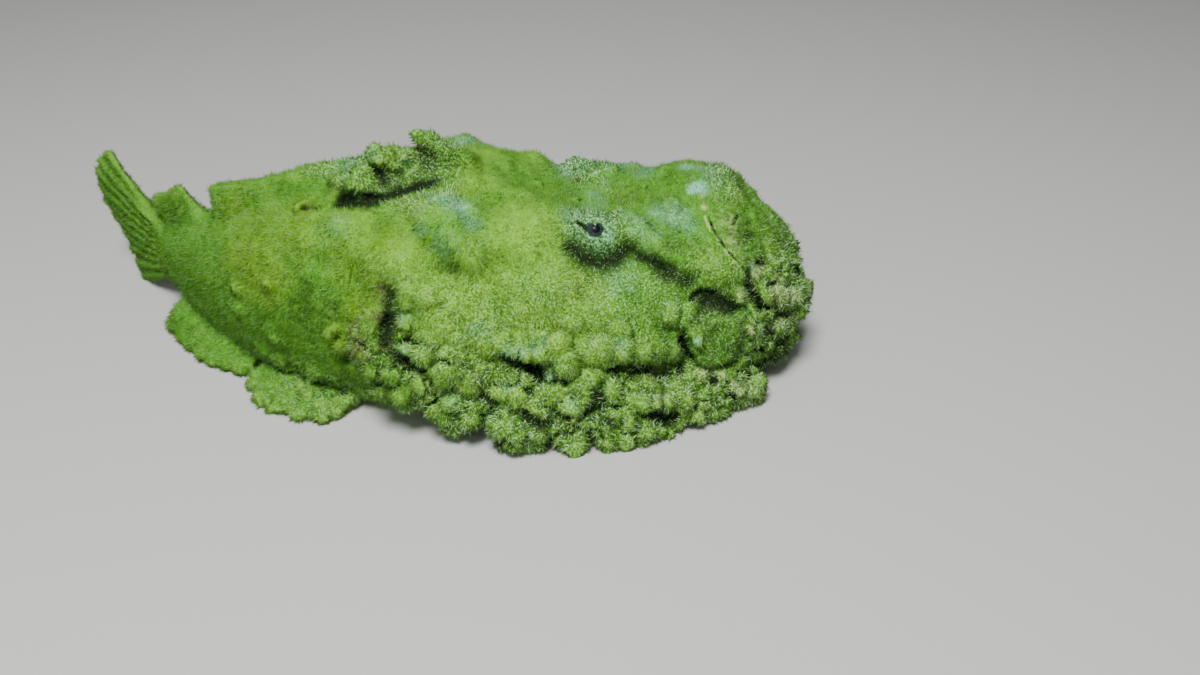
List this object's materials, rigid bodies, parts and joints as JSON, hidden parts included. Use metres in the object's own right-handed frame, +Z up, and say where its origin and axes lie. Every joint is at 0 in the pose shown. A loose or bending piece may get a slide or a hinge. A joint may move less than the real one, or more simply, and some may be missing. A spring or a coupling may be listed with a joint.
{
  "type": "stonefish",
  "caption": "Life-size still model of a reef stonefish lying on its belly, overgrown with algae, fins spread on the floor.",
  "frame": {"origin": "on the floor under the middle of the belly", "axes": "+X towards the head, +Y towards the fish's left side, +Z up"},
  "size_m": [0.3275, 0.1843, 0.1136],
  "materials": {
    "head": "rough, algae-covered",
    "lower_jaw": "rough, algae-covered",
    "torso": "rough, algae-covered",
    "tail": "rough, algae-covered",
    "dorsal_fin_spines": "rough, algae-covered",
    "dorsal_fin_soft": "rough, algae-covered",
    "anal_fin": "rough, algae-covered",
    "tail_fin": "rough, algae-covered",
    "pectoral_fin_left": "rough, algae-covered",
    "pectoral_fin_right": "rough, algae-covered",
    "pelvic_fin_left": "rough, algae-covered",
    "pelvic_fin_right": "rough, algae-covered",
    "eye_left": "wet gloss",
    "eye_right": "wet gloss"
  },
  "bodies": {
    "root": {"head": "head", "lower_jaw": "lower_jaw", "torso": "torso", "tail": "tail", "dorsal_fin_spines": "dorsal_fin_spines", "dorsal_fin_soft": "dorsal_fin_soft", "anal_fin": "anal_fin", "tail_fin": "tail_fin", "pectoral_fin_left": "pectoral_fin_left", "pectoral_fin_right": "pectoral_fin_right", "pelvic_fin_left": "pelvic_fin_left", "pelvic_fin_right": "pelvic_fin_right", "eye_left": "eye_left", "eye_right": "eye_right"}
  },
  "joints": []
}
